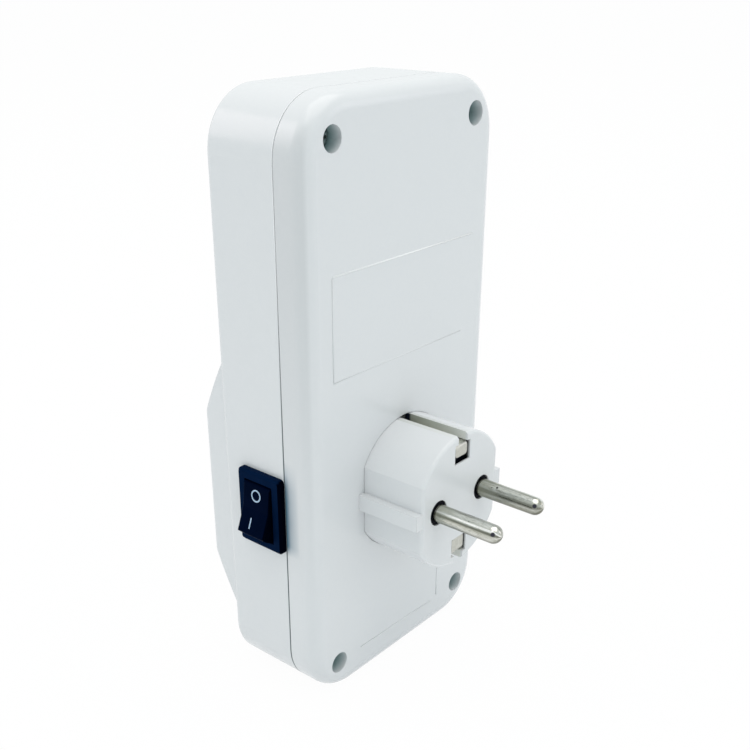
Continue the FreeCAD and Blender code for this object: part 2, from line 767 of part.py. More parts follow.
def pin_carrier():
    """The insulating block in the plug boss: it backs both earth strips, and each pin stands in a
    collar of it that fills the hole in the boss's face."""
    body = new_body("pin_carrier")
    face = plug_face - plug_face_wall
    reach = cavity_half_width - carrier_clearance
    rise = cavity_half_height - carrier_clearance
    arm = chamber_half - carrier_clearance
    top = plug_radius - slot_lip - strip_clearance - strip_thickness - carrier_clearance
    sketch = new_sketch(body, "XZ_Plane", face)
    corners = [
        (-reach, -rise), (-arm, -rise), (-arm, -top), (arm, -top), (arm, -rise), (reach, -rise),
        (reach, rise), (arm, rise), (arm, top), (-arm, top), (-arm, rise), (-reach, rise),
    ]
    outline(sketch, [(x, axis_height + z) for x, z in corners])
    pad(body, sketch, carrier_thickness, -1)
    sketch = new_sketch(body, "XZ_Plane", face)
    for side in (-1, 1):
        circle(sketch, pin_half * side, axis_height, pin_recess_radius - carrier_clearance)
    pad(body, sketch, plug_face_wall - carrier_collar_drop, 1)
    sketch = new_sketch(body, "XZ_Plane", plug_face)
    for side in (-1, 1):
        circle(sketch, pin_half * side, axis_height, pin_neck_radius + thread_clearance)
    cut(body, sketch, plug_face_wall + carrier_thickness, -1)


def plug_pin(name, side):
    """A round pin with a dome end, a collar behind the carrier and a thin tail for its wire."""
    body = new_body(name)
    collar = -plug_face_wall - carrier_thickness
    sketch = new_sketch(body, "YZ_Plane", 0)
    outline(sketch, [
        (collar - pin_tail, 0),
        (collar - pin_tail, pin_tail_radius),
        (collar - pin_collar, pin_tail_radius),
        (collar - pin_collar, pin_collar_radius),
        (collar, pin_collar_radius),
        (collar, pin_neck_radius),
        (0, pin_neck_radius),
        (0, pin_radius),
        (pin_length - pin_radius, pin_radius),
        (pin_length, 0),
    ], {8: (pin_radius, -1)})
    revolve(body, sketch, "H_Axis")
    place(body, pin_half * side, plug_face, axis_height)


def plug_earth_strip(name, side, hook):
    """A sprung earth strip along one slot of the plug, whose tail meets the socket's earth strap."""
    body = new_body(name)
    outer = plug_radius - slot_lip - strip_clearance
    inner = outer - strip_thickness
    near = rear + strip_rear_gap
    far = plug_face - strip_front_gap
    foot = slot_floor + strip_thickness
    strap_back = floor_back + holder_depth + clip_thickness
    sketch = new_sketch(body, "YZ_Plane", 0)
    profile = [
        (strap_back, slot_floor),
        (near + strip_thickness, slot_floor),
        (near + strip_thickness, inner),
        (far - strip_thickness, inner),
        (far - strip_thickness, outer - hook),
        (far, outer - hook),
        (far, outer),
        (near, outer),
        (near, foot),
        (strap_back, foot),
    ]
    outline(sketch, [(y, axis_height + height * side) for y, height in profile])
    pad(body, sketch, strip_width, 0)
    middle = axis_height + inner * side
    high = axis_height + outer * side
    low = axis_height + slot_floor * side
    level_foot = axis_height + foot * side

    def bend(edge, y, z):
        return level(edge, "y", y) and level(edge, "z", z)

    soften(body, strip_bend + strip_thickness, lambda edge: (
        bend(edge, far, high) or bend(edge, near, high) or bend(edge, near + strip_thickness, low)))
    soften(body, strip_bend, lambda edge: (
        bend(edge, far - strip_thickness, middle) or bend(edge, near + strip_thickness, middle)
        or bend(edge, near, level_foot)))
    soften(body, strip_corner, lambda edge: (
        level(edge, "z", axis_height + (outer - hook) * side) and edge.BoundBox.XLength < 0.01))


def socket_contact(name, side):
    """A split spring sleeve that grips one pin, with a tab for its wire."""
    body = new_body(name)
    start = floor_back + holder_clearance
    sketch = new_sketch(body, "XZ_Plane", start)
    circle(sketch, 0, 0, sleeve_radius)
    circle(sketch, 0, 0, contact_bore_radius)
    pad(body, sketch, sleeve_length, 1)
    sketch = new_sketch(body, "XZ_Plane", start)
    rectangle(sketch, -sleeve_slit / 2, sleeve_slit / 2, -sleeve_radius - 1, 0)
    cut(body, sketch, sleeve_length - sleeve_tab_half, 1)
    sketch = new_sketch(body, "XZ_Plane", start + sleeve_length - sleeve_slit)
    rectangle(sketch, -sleeve_tab_half, sleeve_tab_half, sleeve_radius - tab_inset - tab_thickness,
              sleeve_radius - tab_inset)
    pad(body, sketch, sleeve_tab_length + sleeve_slit, 1)
    place(body, pin_half * side, 0, axis_height)


def contact_holder():
    """The block behind the socket floor that holds both contact sleeves."""
    body = new_body("contact_holder")
    sketch = new_sketch(body, "XZ_Plane", floor_back)
    rectangle(sketch, -holder_half_width, holder_half_width, axis_height - holder_half_height,
              axis_height + holder_half_height)
    pad(body, sketch, holder_depth, 1)
    sketch = new_sketch(body, "XZ_Plane", floor_back)
    for side in (-1, 1):
        circle(sketch, pin_half * side, axis_height, sleeve_radius + holder_clearance)
    cut(body, sketch, holder_depth, 1)
    soften(body, part_rounding, lambda edge: level(edge, "y", floor_back + holder_depth)
           and abs(edge.BoundBox.XLength - 2 * number(holder_half_width)) < 0.1)


def socket_earth_clip():
    """The earth strap behind the socket, whose two sprung ears reach into the recess."""
    body = new_body("socket_earth_clip")
    strap_front = floor_back + holder_depth
    strap_back = strap_front + clip_thickness
    tip = boss_face + clip_setback
    crest = tip + clip_bulge_half
    base = crest + clip_bulge_half
    inner = clip_radius - clip_thickness
    ear = [
        (strap_back, clip_radius),
        (base, clip_radius),
        (crest, clip_radius - clip_bulge),
        (tip, clip_radius),
        (tip, inner),
        (crest, inner - clip_bulge),
        (base, inner),
        (strap_front, inner),
    ]
    sketch = new_sketch(body, "YZ_Plane", 0)
    upper = [(y, axis_height + height) for y, height in ear]
    lower = [(y, axis_height - height) for y, height in reversed(ear)]
    outline(sketch, upper + lower)
    pad(body, sketch, clip_half_width * 2, 0)


def switch_frame():
    """The switch's snap-in body with its flange, rocker opening, pivot holes and barbs."""
    body = new_body("switch_frame")
    sketch = new_sketch(body, "YZ_Plane", half_width)
    rounded_rectangle(sketch, switch_y - flange_width / 2, switch_y + flange_width / 2,
                      switch_height - flange_length / 2, switch_height + flange_length / 2, flange_corner)
    pad(body, sketch, flange_thickness, 1)
    soften(body, flange_bevel, lambda edge: level(edge, "x", half_width + flange_thickness), "Chamfer")
    sketch = new_sketch(body, "YZ_Plane", half_width)
    reach = switch_body_width / 2
    rise = switch_body_length / 2
    rectangle(sketch, switch_y - reach, switch_y + reach, switch_height - rise, switch_height + rise)
    pad(body, sketch, switch_body_depth, -1)

    # A barb above and below holds the body behind the case wall
    sketch = new_sketch(body, "XZ_Plane", switch_y)
    catch = half_width - wall - panel_clearance * 2
    for side in (-1, 1):
        outline(sketch, [
            (catch, switch_height + (rise - barb_height / 2) * side),
            (catch, switch_height + (rise + barb_height) * side),
            (catch - barb_length, switch_height + (rise - barb_height / 2) * side),
        ])
    pad(body, sketch, barb_width, 0)
    sketch = new_sketch(body, "YZ_Plane", half_width + flange_thickness)
    open_half = rocker_width / 2 + rocker_side_gap
    open_rise = rocker_radius + rocker_gap
    rectangle(sketch, switch_y - open_half, switch_y + open_half, switch_height - open_rise,
              switch_height + open_rise)
    cut(body, sketch, flange_thickness + switch_body_depth - switch_floor, -1)
    sketch = new_sketch(body, "XZ_Plane", switch_y)
    circle(sketch, half_width, switch_height, pivot_radius + pivot_clearance)
    cut(body, sketch, rocker_width + (pivot_reach + pivot_end_gap) * 2, 0)
    sketch = new_sketch(body, "YZ_Plane", half_width - switch_body_depth)
    reach = blade_width / 2 + blade_clearance
    rise = blade_thickness / 2 + blade_clearance
    for middle in (switch_height, switch_height + end_blade_place):
        rectangle(sketch, switch_y - reach, switch_y + reach, middle - rise, middle + rise)
    cut(body, sketch, switch_floor, 1)


def switch_rocker():
    """The rocker: a sector about its pivot under two flat facets that meet in a shallow valley."""
    body = new_body("switch_rocker")
    slope = tangent(facet_angle)
    squared = 1 + slope * slope
    tip_reach = (root(rocker_radius * rocker_radius * squared - rocker_rise * rocker_rise)
                 - slope * rocker_rise) / squared
    tip_rise = rocker_rise + slope * tip_reach
    skirt_reach = root(rocker_radius * rocker_radius - rocker_skirt * rocker_skirt)
    sketch = new_sketch(body, "XZ_Plane", 0)
    outline(sketch, [
        (tip_rise, -tip_reach),
        (rocker_rise, 0),
        (tip_rise, tip_reach),
        (-rocker_skirt, skirt_reach),
        (-rocker_skirt, stem_half),
        (-stem_reach, stem_half),
        (-stem_reach, -stem_half),
        (-rocker_skirt, -stem_half),
        (-rocker_skirt, -skirt_reach),
    ], {2: (rocker_radius, 1), 8: (rocker_radius, 1)})
    pad(body, sketch, rocker_width, 0)
    sketch = new_sketch(body, "XZ_Plane", 0)
    circle(sketch, 0, 0, pivot_radius)
    pad(body, sketch, rocker_width + pivot_reach * 2, 0)
    sketch = new_sketch(body, "YZ_Plane", -stem_reach)
    circle(sketch, 0, 0, plunger_radius + plunger_clearance)
    cut(body, sketch, stem_reach - plunger_reach + plunger_length + spring_height, 1)
    half = rocker_width / 2
    soften(body, rocker_rounding, lambda edge: edge.CenterOfMass.x > number(rocker_rise) * 0.98
           and (level(edge, "y", half) or level(edge, "y", -half) or edge.CenterOfMass.x > number(tip_rise) * 0.98))
    place(body, half_width, switch_y, switch_height)
    tilt(body, -rocker_half_swing)


def switch_plunger():
    """The sprung pin in the rocker's stem that tips the moving contact."""
    body = new_body("switch_plunger")
    back = plunger_length - plunger_reach
    sketch = new_sketch(body, "XZ_Plane", 0)
    outline(sketch, [
        (back, 0),
        (-plunger_reach, 0),
        (plunger_radius - plunger_reach, plunger_radius),
        (back, plunger_radius),
    ], {1: (plunger_radius, -1)})
    revolve(body, sketch, "H_Axis")
    place(body, half_width, switch_y, switch_height)
    tilt(body, -rocker_half_swing)


def switch_spring():
    """The coil spring behind the plunger, a little shorter than its place in the bore."""
    body = new_body("switch_spring")
    back = plunger_length - plunger_reach
    sketch = new_sketch(body, "XZ_Plane", 0)
    circle(sketch, back + spring_wire * 1.5, spring_radius, spring_wire)
    coil = body.newObject("PartDesign::AdditiveHelix", "Coil")
    coil.Profile = sketch
    coil.ReferenceAxis = (sketch, ["H_Axis"])
    coil.Mode = "height-turns-angle"
    bind(coil, "Height", spring_height - spring_wire * 3)
    bind(coil, "Turns", spring_turns)
    doc.recompute()
    place(body, half_width, switch_y, switch_height)
    tilt(body, -rocker_half_swing)


def switch_contact():
    """The seesaw plate that the plunger tips, with a silver rivet under its upper end."""
    body = new_body("switch_contact")
    sketch = new_sketch(body, "YZ_Plane", 0)
    reach = contact_width / 2
    rectangle(sketch, -reach, reach, -contact_half_length, contact_half_length)
    pad(body, sketch, contact_thickness, 1)
    sketch = new_sketch(body, "YZ_Plane", 0)
    circle(sketch, 0, rivet_place, rivet_radius)
    pad(body, sketch, rivet_height, -1)
    place(body, half_width - contact_depth, switch_y, switch_height)
    tilt(body, contact_half_swing)


def switch_terminals():
    """The blade under the seesaw's middle, and the bent blade under its upper end."""
    body = new_body("switch_terminal_centre")
    half = blade_thickness / 2
    top = -contact_depth - fulcrum_gap
    sketch = new_sketch(body, "XZ_Plane", 0)
    rectangle(sketch, -blade_reach, top, -half, half)
    pad(body, sketch, blade_width, 0)
    place(body, half_width, switch_y, switch_height)
    body = new_body("switch_terminal_end")
    top = -contact_depth - fixed_contact_drop
    outside = end_blade_place + half
    inside = end_blade_place - half
    sketch = new_sketch(body, "XZ_Plane", 0)
    outline(sketch, [
        (-blade_reach, inside),
        (top - blade_thickness, inside),
        (top - blade_thickness, outside - fixed_contact_reach),
        (top, outside - fixed_contact_reach),
        (top, outside),
        (-blade_reach, outside),
    ])
    pad(body, sketch, blade_width, 0)
    place(body, half_width, switch_y, switch_height)


def circuit_board():
    body = new_body("circuit_board")
    sketch = new_sketch(body, "XZ_Plane", board_front)
    rectangle(sketch, -board_width / 2, board_width / 2, board_bottom, board_top)
    for x, z in board_holes:
        circle(sketch, x, z, board_hole_radius)
    pad(body, sketch, board_thickness, 1)


def block(name, x, z, width, length, at, height, toward):
    """A box-shaped part on the board, with the edges of its free face rounded."""
    body = new_body(name)
    sketch = new_sketch(body, "XZ_Plane", at)
    rectangle(sketch, x - width / 2, x + width / 2, z - length / 2, z + length / 2)
    pad(body, sketch, height, toward)
    soften(body, part_rounding, lambda edge: level(edge, "y", at + height * toward))
    return body


def control_chip():
    body = block("control_chip", chip_x, chip_z, chip_width, chip_length, board_back, chip_height, 1)
    sketch = new_sketch(body, "XZ_Plane", board_back)
    for row in range(4):
        middle = chip_z + chip_leg_pitch * (row - 1.5)
        low, high = middle - chip_leg_width / 2, middle + chip_leg_width / 2
        for side in (-1, 1):
            ends = (chip_x + chip_width / 2 * side, chip_x + (chip_width / 2 + chip_leg_reach) * side)
            rectangle(sketch, *sorted(ends, key=number), low, high)
    pad(body, sketch, chip_height / 2, 1)


def electrolytic_capacitor():
    body = new_body("electrolytic_capacitor")
    sketch = new_sketch(body, "YZ_Plane", 0)
    outline(sketch, [
        (0, 0),
        (0, can_radius),
        (-can_groove * 2, can_radius),
        (-can_groove * 3, can_radius - can_groove),
        (-can_groove * 4, can_radius),
        (-can_height, can_radius),
        (-can_height, 0),
    ])
    revolve(body, sketch, "H_Axis")
    soften(body, part_rounding, lambda edge: level(edge, "y", -can_height))
    place(body, can_x, board_front, can_z)


def varistor():
    """A coated disc that stands on its two legs."""
    body = new_body("varistor")
    middle = board_front - varistor_lift - varistor_radius
    sketch = new_sketch(body, "YZ_Plane", varistor_x)
    circle(sketch, middle, varistor_z, varistor_radius)
    pad(body, sketch, varistor_thickness, 0)
    soften(body, part_rounding, lambda edge: edge.BoundBox.XLength < 0.01)
    sketch = new_sketch(body, "XZ_Plane", board_front)
    for side in (-1, 1):
        circle(sketch, varistor_x, varistor_z + varistor_radius / 2 * side, varistor_leg)
    pad(body, sketch, varistor_lift + varistor_radius / 2, -1)


def indicator(color, x):
    """An indicator lamp through the front wall, on leads from the board."""
    body = new_body("led_" + color)
    tip = wall + led_proud
    sketch = new_sketch(body, "YZ_Plane", 0)
    outline(sketch, [
        (led_rim_height, 0),
        (led_rim_height, led_radius + led_rim),
        (0, led_radius + led_rim),
        (0, led_radius),
        (led_radius - tip, led_radius),
        (-tip, 0),
    ], {4: (led_radius, 1)})
    revolve(body, sketch, "H_Axis")
    sketch = new_sketch(body, "XZ_Plane", led_rim_height)
    for side in (-1, 1):
        rectangle(sketch, led_lead_place * side - led_lead_half, led_lead_place * side + led_lead_half,
                  -led_lead_half, led_lead_half)
    pad(body, sketch, board_front - inner_front - led_rim_height, 1)
    place(body, x, inner_front, led_height)


def wire(name, points):
    """A round wire along straight runs joined by bends. Its sizes are read from the sheet."""
    stops = [vector(*[number(part) for part in point]) for point in points]
    edges = []
    here = stops[0]
    for before, corner, after in zip(stops, stops[1:], stops[2:]):
        arriving = (corner - before).normalize()
        leaving = (after - corner).normalize()
        turn = arriving.getAngle(leaving)
        reach = number(wire_bend) * math.tan(turn / 2)
        begin = corner - arriving * reach
        end = corner + leaving * reach
        inward = (leaving - arriving).normalize()
        crest = corner + inward * (number(wire_bend) / math.cos(turn / 2) - number(wire_bend))
        edges.append(Part.makeLine(here, begin))
        edges.append(Part.Arc(begin, crest, end).toShape())
        here = end
    edges.append(Part.makeLine(here, stops[-1]))
    path = Part.Wire(edges)
    heading = stops[1] - stops[0]
    ring = Part.Wire([Part.makeCircle(number(wire_radius), stops[0], heading)])
    item = doc.addObject("Part::Feature", name)
    item.Label = name
    item.Shape = path.makePipeShell([ring], True, False)


front_housing()
rear_cover()
for index, (x, z) in enumerate(screw_places):
    screw("case_screw_%d" % (index + 1), x, ledge, z, screw_radius, screw_length, screw_head_radius,
          screw_head_height)
pin_carrier()
for name, side in (("live", 1), ("neutral", -1)):
    plug_pin("plug_pin_" + name, side)
    socket_contact("socket_contact_" + name, side)
plug_earth_strip("plug_earth_strip_top", 1, strip_hook_top)
plug_earth_strip("plug_earth_strip_bottom", -1, strip_hook_bottom)
contact_holder()
socket_earth_clip()
switch_frame()
switch_rocker()
switch_plunger()
switch_spring()
switch_contact()
switch_terminals()
circuit_board()
for index, (x, z) in enumerate(board_holes):
    screw("board_screw_%d" % (index + 1), x, board_back, z, board_screw_radius, board_screw_length,
          board_head_radius, board_head_height)
block("relay", relay_x, relay_z, relay_width, relay_length, board_front, relay_height, -1)
block("film_capacitor", film_x, film_z, film_width, film_length, board_front, film_height, -1)
electrolytic_capacitor()
varistor()
control_chip()
for color, x in led_places.items():
    indicator(color, x)

# Wires, each run laid in the free room behind the socket
tail_end = plug_face - plug_face_wall - carrier_thickness - pin_tail
sleeve_end = floor_back + holder_clearance + sleeve_length
tab_end = sleeve_end + sleeve_tab_length
tab_middle = sleeve_end + sleeve_tab_length / 2
tab_top = axis_height + sleeve_radius - tab_inset
blade_edge = switch_y + blade_width / 2
blade_x = half_width - blade_reach + blade_width / 2
lane = sleeve_end + wire_lane_gap + wire_radius
board_middle = board_front + board_thickness / 2
end_blade_height = switch_height + end_blade_place
wire("wire_live_in", [
    (pin_half, tail_end, axis_height),
    (pin_half, lane, axis_height),
    (blade_x, lane, axis_height),
    (blade_x, blade_edge, axis_height),
])
wire("wire_switched_live", [
    (blade_x, blade_edge, end_blade_height),
    (blade_x, board_middle, end_blade_height),
    (blade_x, board_middle, board_bottom),
])
for name, side in (("live", 1), ("neutral", -1)):
    wire("wire_%s_out" % name, [
        (pin_half * side, board_middle, board_bottom),
        (pin_half * side, board_middle, axis_height + wire_height),
        (pin_half * side, tab_middle, tab_top + wire_height / 3),
        (pin_half * side, tab_middle, tab_top),
    ])
wire("wire_neutral_in", [
    (-pin_half, tail_end, axis_height),
    (-pin_half, tail_end - wire_bend, axis_height),
    (-pin_half, tab_end + wire_bend, tab_top - tab_thickness / 2),
    (-pin_half, tab_end, tab_top - tab_thickness / 2),
])

# Check every piece, then write one file for each
doc.recompute()
pieces = [item for item in doc.Objects if item.TypeId in ("PartDesign::Body", "Part::Feature")]
for item in doc.Objects:
    if "Invalid" in item.State or "Error" in item.State:
        raise RuntimeError("%s is not sound: %s" % (item.Label, item.State))
for item in pieces:
    shape = item.Shape
    if shape.isNull() or not shape.isValid() or len(shape.Solids) != 1:
        raise RuntimeError("%s is not one sound solid" % item.Label)
os.makedirs("parts", exist_ok=True)
for item in pieces:
    item.Shape.exportStep("parts/%s.step" % item.Label)
print("%d pieces written" % len(pieces))
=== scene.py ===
"""Looks for the voltage protector: camera, studio, materials and small raised details."""
import json
import math

import bmesh
import bpy
from mathutils import Matrix, Vector
from mathutils.bvhtree import BVHTree


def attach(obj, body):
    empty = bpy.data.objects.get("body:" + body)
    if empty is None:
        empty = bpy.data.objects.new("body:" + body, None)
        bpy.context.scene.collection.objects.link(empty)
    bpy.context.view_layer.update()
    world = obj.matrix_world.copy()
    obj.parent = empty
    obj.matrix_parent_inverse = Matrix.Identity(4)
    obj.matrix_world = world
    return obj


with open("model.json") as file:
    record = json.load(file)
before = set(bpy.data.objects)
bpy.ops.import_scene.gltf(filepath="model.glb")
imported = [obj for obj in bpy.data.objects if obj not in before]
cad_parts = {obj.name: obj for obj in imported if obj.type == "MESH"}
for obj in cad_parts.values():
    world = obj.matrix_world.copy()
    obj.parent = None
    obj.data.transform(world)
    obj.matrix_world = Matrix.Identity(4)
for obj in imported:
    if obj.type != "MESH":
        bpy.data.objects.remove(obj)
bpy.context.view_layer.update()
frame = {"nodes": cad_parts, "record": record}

MM = 0.001
scene = bpy.context.scene

# Camera, as fitted to the photo, with its place in millimetres
CAMERA_PLACE = (197.449, 168.657, 181.781)
CAMERA_RIGHT = (-0.64660171, 0.76282705, -0.00105509)
CAMERA_FORWARD = (-0.68324689, -0.57976047, -0.44390481)
CAMERA_LENS = 49.645
CAMERA_SENSOR = 36
CAMERA_SHIFT = (0.01575, 0.12565)
CAMERA_NEAR = 0.005

# Places and sizes on the object, in millimetres: pairs are (x, z), and depths are along Y
SEAM = 6.05
REAR_FACE = 15.3
PLUG_FACE = 34.3
MID_HEIGHT = 78.15
PLUG_AXIS = (0.0, 55.3)
PLUG_RADIUS = 18.7
SLOT_HALF = 3.2
SCREW_HOLE = (26.75, 146.95)
BORE_RADIUS = 3.0
SIDE_INSIDE = 35.0
SWITCH_Y = -1.4
SWITCH_Z = 55.1

# Colours that several materials use
WHITE = (1.0, 1.0, 1.0)
NEARLY_BLACK = (0.02, 0.02, 0.02)


def make_camera():
    """The camera at the photo's place, angle and framing."""
    data = bpy.data.cameras.new("camera")
    data.lens = CAMERA_LENS
    data.sensor_width = CAMERA_SENSOR
    data.shift_x, data.shift_y = CAMERA_SHIFT
    data.clip_start = CAMERA_NEAR
    camera = bpy.data.objects.new("camera", data)
    scene.collection.objects.link(camera)
    right = Vector(CAMERA_RIGHT).normalized()
    forward = Vector(CAMERA_FORWARD).normalized()
    up = right.cross(forward)
    turn = Matrix((right, up, -forward)).transposed().to_4x4()
    camera.matrix_world = Matrix.Translation(Vector(CAMERA_PLACE) * MM) @ turn
    scene.camera = camera


# ---- Materials ----

def add_node(tree, kind, *numbered, **named):
    """A new node. An input given as a socket is linked, and any other value is set."""
    made = tree.nodes.new(kind)
    for key, value in [*enumerate(numbered), *named.items()]:
        if isinstance(value, bpy.types.NodeSocket):
            tree.links.new(value, made.inputs[key])
        else:
            made.inputs[key].default_value = value
    return made


def add_math(tree, operation, *values):
    """The result of a Math node on one or two values."""
    made = add_node(tree, "ShaderNodeMath", *values)
    made.operation = operation
    return made.outputs[0]


class Paint:
    """A node material with short calls for the few kinds of node used here."""

    def __init__(self, name, roughness=0.4, metallic=0.0, **sockets):
        self.material = bpy.data.materials.new(name)
        self.material.use_nodes = True
        self.tree = self.material.node_tree
        self.shader = self.tree.nodes["Principled BSDF"]
        for socket, value in {"Roughness": roughness, "Metallic": metallic, **sockets}.items():
            self.shader.inputs[socket.replace("_", " ")].default_value = value
        self.place = self.node("ShaderNodeTexCoord").outputs["Object"]

    def node(self, kind, *numbered, **named):
        """A new node in this material."""
        return add_node(self.tree, kind, *numbered, **named)

    def math(self, operation, *values):
        """The result of a Math node in this material."""
        return add_math(self.tree, operation, *values)

    def product(self, first, *others):
        """All the values multiplied."""
        for other in others:
            first = self.math("MULTIPLY", first, other)
        return first

    def vector(self, operation, first, second):
        """The number that a Vector Math node gives for two vectors."""
        made = self.node("ShaderNodeVectorMath", first, second)
        made.operation = operation
        return made.outputs["Value"]

    # Patterns

    def stretched(self, stretch):
        """The place on the object, with each axis stretched."""
        return self.node("ShaderNodeMapping", Vector=self.place, Scale=stretch).outputs[0]

    def noise(self, scale, detail=3.0, stretch=(1, 1, 1), distortion=0.0):
        """Noise between 0 and 1 with features about 1/scale metres long."""
        made = self.node("ShaderNodeTexNoise", Vector=self.stretched(stretch), Scale=scale,
                         Detail=detail, Distortion=distortion)
        return made.outputs["Fac"]

    def cells(self, scale, stretch=(1, 1, 1), randomness=1.0):
        """Distance to the nearest of scattered points."""
        made = self.node("ShaderNodeTexVoronoi", Vector=self.stretched(stretch), Scale=scale,
                         Randomness=randomness)
        return made.outputs["Distance"]

    # Where a point lies, and which way the surface faces there

    def axis(self, letter):
        """One coordinate of the place on the object, in metres."""
        return self.node("ShaderNodeSeparateXYZ", self.place).outputs[letter]

    def distance(self, middle, mirror=False):
        """Metres from a line along Y, or from the nearest of its four mirror images."""
        centres = {"X": 0.0, "Z": MID_HEIGHT}
        legs = []
        for letter, value in zip("XZ", middle):
            leg = self.axis(letter)
            if mirror:
                leg = self.math("SUBTRACT", leg, centres[letter] * MM)
                leg = self.math("ABSOLUTE", leg)
                value -= centres[letter]
            leg = self.math("SUBTRACT", leg, value * MM)
            legs.append(self.math("MULTIPLY", leg, leg))
        return self.math("SQRT", self.math("ADD", *legs))

    def surface_normal(self):
        """The way the surface faces."""
        return self.node("ShaderNodeNewGeometry").outputs["Normal"]

    def facing(self, direction):
        """How far the surface faces a direction, 1 when it faces it fully."""
        return self.vector("DOT_PRODUCT", self.surface_normal(), Vector(direction).normalized())

    def turn(self, wobble):
        """The angle in degrees that the surface faces about Y, from +X toward +Z, made uneven."""
        normal = self.node("ShaderNodeSeparateXYZ", self.surface_normal())
        angle = self.math("ARCTAN2", normal.outputs["Z"], normal.outputs["X"])
        return self.math("ADD", self.math("MULTIPLY", angle, math.degrees(1)), wobble)

    # Shares made from values

    def span(self, value, low, high, to_low=0.0, to_high=1.0):
        """The value stretched from low..high to the new limits, and clamped there."""
        return self.node("ShaderNodeMapRange", value, low, high, to_low, to_high).outputs[0]

    def spread(self, noise, to_low=0.0, to_high=1.0):
        """The middle part of a noise, where nearly all of it is, stretched to the limits."""
        return self.span(noise, 0.3, 0.7, to_low, to_high)

    def rise(self, value, low, high, top=1.0):
        """0 below the low place and the top share above the high one, both in millimetres."""
        return self.span(value, low * MM, high * MM, 0.0, top)

    def fall(self, value, low, high, top=1.0):
        """The top share below the low place and 0 above the high one, both in millimetres."""
        return self.span(value, low * MM, high * MM, top, 0.0)

    def bands(self, value, stops, unit=1.0):
        """Shares read off (place, share) stops along a value.

        The places rise, and are counted in the unit, such as MM.
        """
        low, high = stops[0][0], stops[-1][0]
        ramp = self.node("ShaderNodeValToRGB", self.span(value, low * unit, high * unit))
        elements = ramp.color_ramp.elements
        while len(elements) < len(stops):
            elements.new(0.5)
        for element, (place, share) in zip(elements, stops):
            element.position = (place - low) / (high - low)
            element.color = (share, share, share, 1)
        return ramp.outputs[0]

    def mix(self, share, first, second):
        """A colour between two, each a socket or three numbers."""
        made = self.node("ShaderNodeMix")
        made.data_type = "RGBA"
        sockets = (made.inputs[0], made.inputs[6], made.inputs[7])
        for socket, value in zip(sockets, (share, first, second)):
            if isinstance(value, bpy.types.NodeSocket):
                self.tree.links.new(value, socket)
            else:
                socket.default_value = (*value, 1) if socket.type == "RGBA" else value
        return made.outputs[2]

    # What the shader gets

    def colour(self, socket):
        """Sets the surface's colour."""
        self.tree.links.new(socket, self.shader.inputs["Base Color"])

    def rough(self, socket):
        """Sets the surface's roughness."""
        self.tree.links.new(socket, self.shader.inputs["Roughness"])

    def normal(self, heights, edge=0.0):
        """Bumps from (height socket, depth in metres) pairs, over edges rounded by a radius."""
        normal = None
        if edge:
            bevel = self.node("ShaderNodeBevel", Radius=edge)
            bevel.samples = 6
            normal = bevel.outputs[0]
        for height, depth in heights:
            bump = self.node("ShaderNodeBump", Height=height, Distance=depth, Strength=1.0)
            if normal is not None:
                self.tree.links.new(normal, bump.inputs["Normal"])
            normal = bump.outputs[0]
        self.tree.links.new(normal, self.shader.inputs["Normal"])


def shade_in_screw_holes(paint, base):
    """Painted shade, a dull green-grey, deep in the four screw holes."""
    depth = paint.axis("Y")
    hole = paint.distance(SCREW_HOLE, mirror=True)
    share = paint.product(
        paint.fall(hole, BORE_RADIUS + 0.1, BORE_RADIUS + 0.2),
        paint.math("GREATER_THAN", depth, SEAM * MM),
        paint.fall(depth, REAR_FACE - 4.0, REAR_FACE - 0.3),
    )
    return paint.mix(share, base, (0.36, 0.515, 0.52))


def shade_in_slots(paint, base):
    """Painted shade on the walls of the plug's two slots, dark at their foot and lighter toward the
    plug's face, tinted green-grey as a painted reflection of the nickel strips.
    """
    shade_at_foot, low_down, high_up = (0.02, 0.025, 0.05), (0.50, 0.515, 0.44), (0.74, 0.75, 0.71)
    depth = paint.axis("Y")
    share = paint.product(
        paint.fall(paint.math("ABSOLUTE", paint.axis("X")), SLOT_HALF + 0.01, SLOT_HALF + 0.05),
        paint.fall(paint.distance(PLUG_AXIS), PLUG_RADIUS - 0.2, PLUG_RADIUS + 0.1),
        paint.rise(depth, REAR_FACE - 2, REAR_FACE - 1),
        paint.fall(depth, PLUG_FACE - 0.8, PLUG_FACE - 0.4),
    )
    wall_shade = paint.mix(paint.rise(depth, REAR_FACE + 0.2, REAR_FACE + 0.8), shade_at_foot, low_down)
    wall_shade = paint.mix(paint.rise(depth, REAR_FACE + 4, REAR_FACE + 17), wall_shade, high_up)
    return paint.mix(share, base, wall_shade)


def on_cover_edge(paint, base):
    """A little shade along the cover's edge on the switch's side, growing toward the top."""
    most = 0.11
    depth = paint.axis("Y")
    share = paint.product(
        paint.span(paint.facing((0.94, 0.34, 0.0)), 0.80, 0.93),
        paint.math("GREATER_THAN", depth, (SEAM + 0.1) * MM),
        paint.math("LESS_THAN", depth, (REAR_FACE + 0.1) * MM),
        paint.rise(paint.axis("Z"), 30, 120, most),
    )
    return paint.mix(share, base, (0.04, 0.05, 0.05))


def light_at_plug_foot(paint, base):
    """Painted light on the floor of the fine groove round the plug's foot, away from the switch,
    where the groove would be shaded.
    """
    depth = paint.axis("Y")
    share = paint.product(
        paint.fall(depth, REAR_FACE - 0.10, REAR_FACE - 0.03),
        paint.rise(depth, REAR_FACE - 0.5, REAR_FACE - 0.4),
        paint.fall(paint.distance(PLUG_AXIS), 24, 25),
        paint.fall(paint.axis("X"), -3, -2),
    )
    return paint.mix(share, base, (0.97, 0.97, 0.97))


